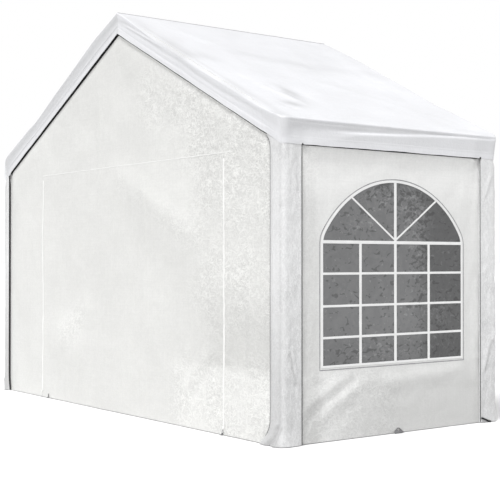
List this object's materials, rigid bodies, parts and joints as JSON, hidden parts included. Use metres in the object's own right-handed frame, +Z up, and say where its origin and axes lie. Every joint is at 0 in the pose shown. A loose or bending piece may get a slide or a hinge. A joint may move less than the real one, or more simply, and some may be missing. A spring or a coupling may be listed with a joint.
{
  "type": "marquee tent",
  "caption": "Rectangular frame tent with a ridged roof cover, hanging valances, zipped gable doors and side walls with arched clear windows.",
  "frame": {"origin": "on the ground under the middle of the tent", "axes": "+X across the gables, towards the window wall on the right, -Y out of the front gable door, +Y along the ridge, +Z up"},
  "size_m": [4.02, 2.036, 3.0649],
  "materials": {
    "frame_steel": "white powder coat, satin",
    "roof_sheeting": "coated woven sheeting, slight sheen",
    "wall_sheeting": "coated woven sheeting, slight sheen",
    "sleeve_sheeting": "coated woven sheeting, slight sheen",
    "window_film": "clear film, dark inside, glossy"
  },
  "bodies": {
    "root": {"foot_front_left": "frame_steel", "foot_front_right": "frame_steel", "foot_rear_left": "frame_steel", "foot_rear_right": "frame_steel", "post_front_left": "frame_steel", "post_front_right": "frame_steel", "post_rear_left": "frame_steel", "post_rear_right": "frame_steel", "eave_connector_front_left": "frame_steel", "eave_connector_front_right": "frame_steel", "eave_connector_rear_left": "frame_steel", "eave_connector_rear_right": "frame_steel", "ridge_connector_front": "frame_steel", "ridge_connector_rear": "frame_steel", "rafter_front_left": "frame_steel", "rafter_front_right": "frame_steel", "rafter_rear_left": "frame_steel", "rafter_rear_right": "frame_steel", "eave_purlin_left": "frame_steel", "eave_purlin_right": "frame_steel", "ridge_purlin": "frame_steel", "roof_slope_left": "roof_sheeting", "roof_slope_right": "roof_sheeting", "eave_valance_left": "roof_sheeting", "eave_valance_right": "roof_sheeting", "gable_valance_front_left": "roof_sheeting", "gable_valance_front_right": "roof_sheeting", "gable_valance_rear_left": "roof_sheeting", "gable_valance_rear_right": "roof_sheeting", "gable_top_front": "wall_sheeting", "gable_top_rear": "wall_sheeting", "gable_wall_front_left": "wall_sheeting", "gable_wall_front_right": "wall_sheeting", "gable_wall_rear_left": "wall_sheeting", "gable_wall_rear_right": "wall_sheeting", "door_front": "wall_sheeting", "door_rear": "wall_sheeting", "window_wall_left": "wall_sheeting", "window_wall_right": "wall_sheeting", "window_film_left": "window_film", "window_film_right": "window_film", "corner_sleeve_front_left": "sleeve_sheeting", "corner_sleeve_front_right": "sleeve_sheeting", "corner_sleeve_rear_left": "sleeve_sheeting", "corner_sleeve_rear_right": "sleeve_sheeting"}
  },
  "joints": []
}
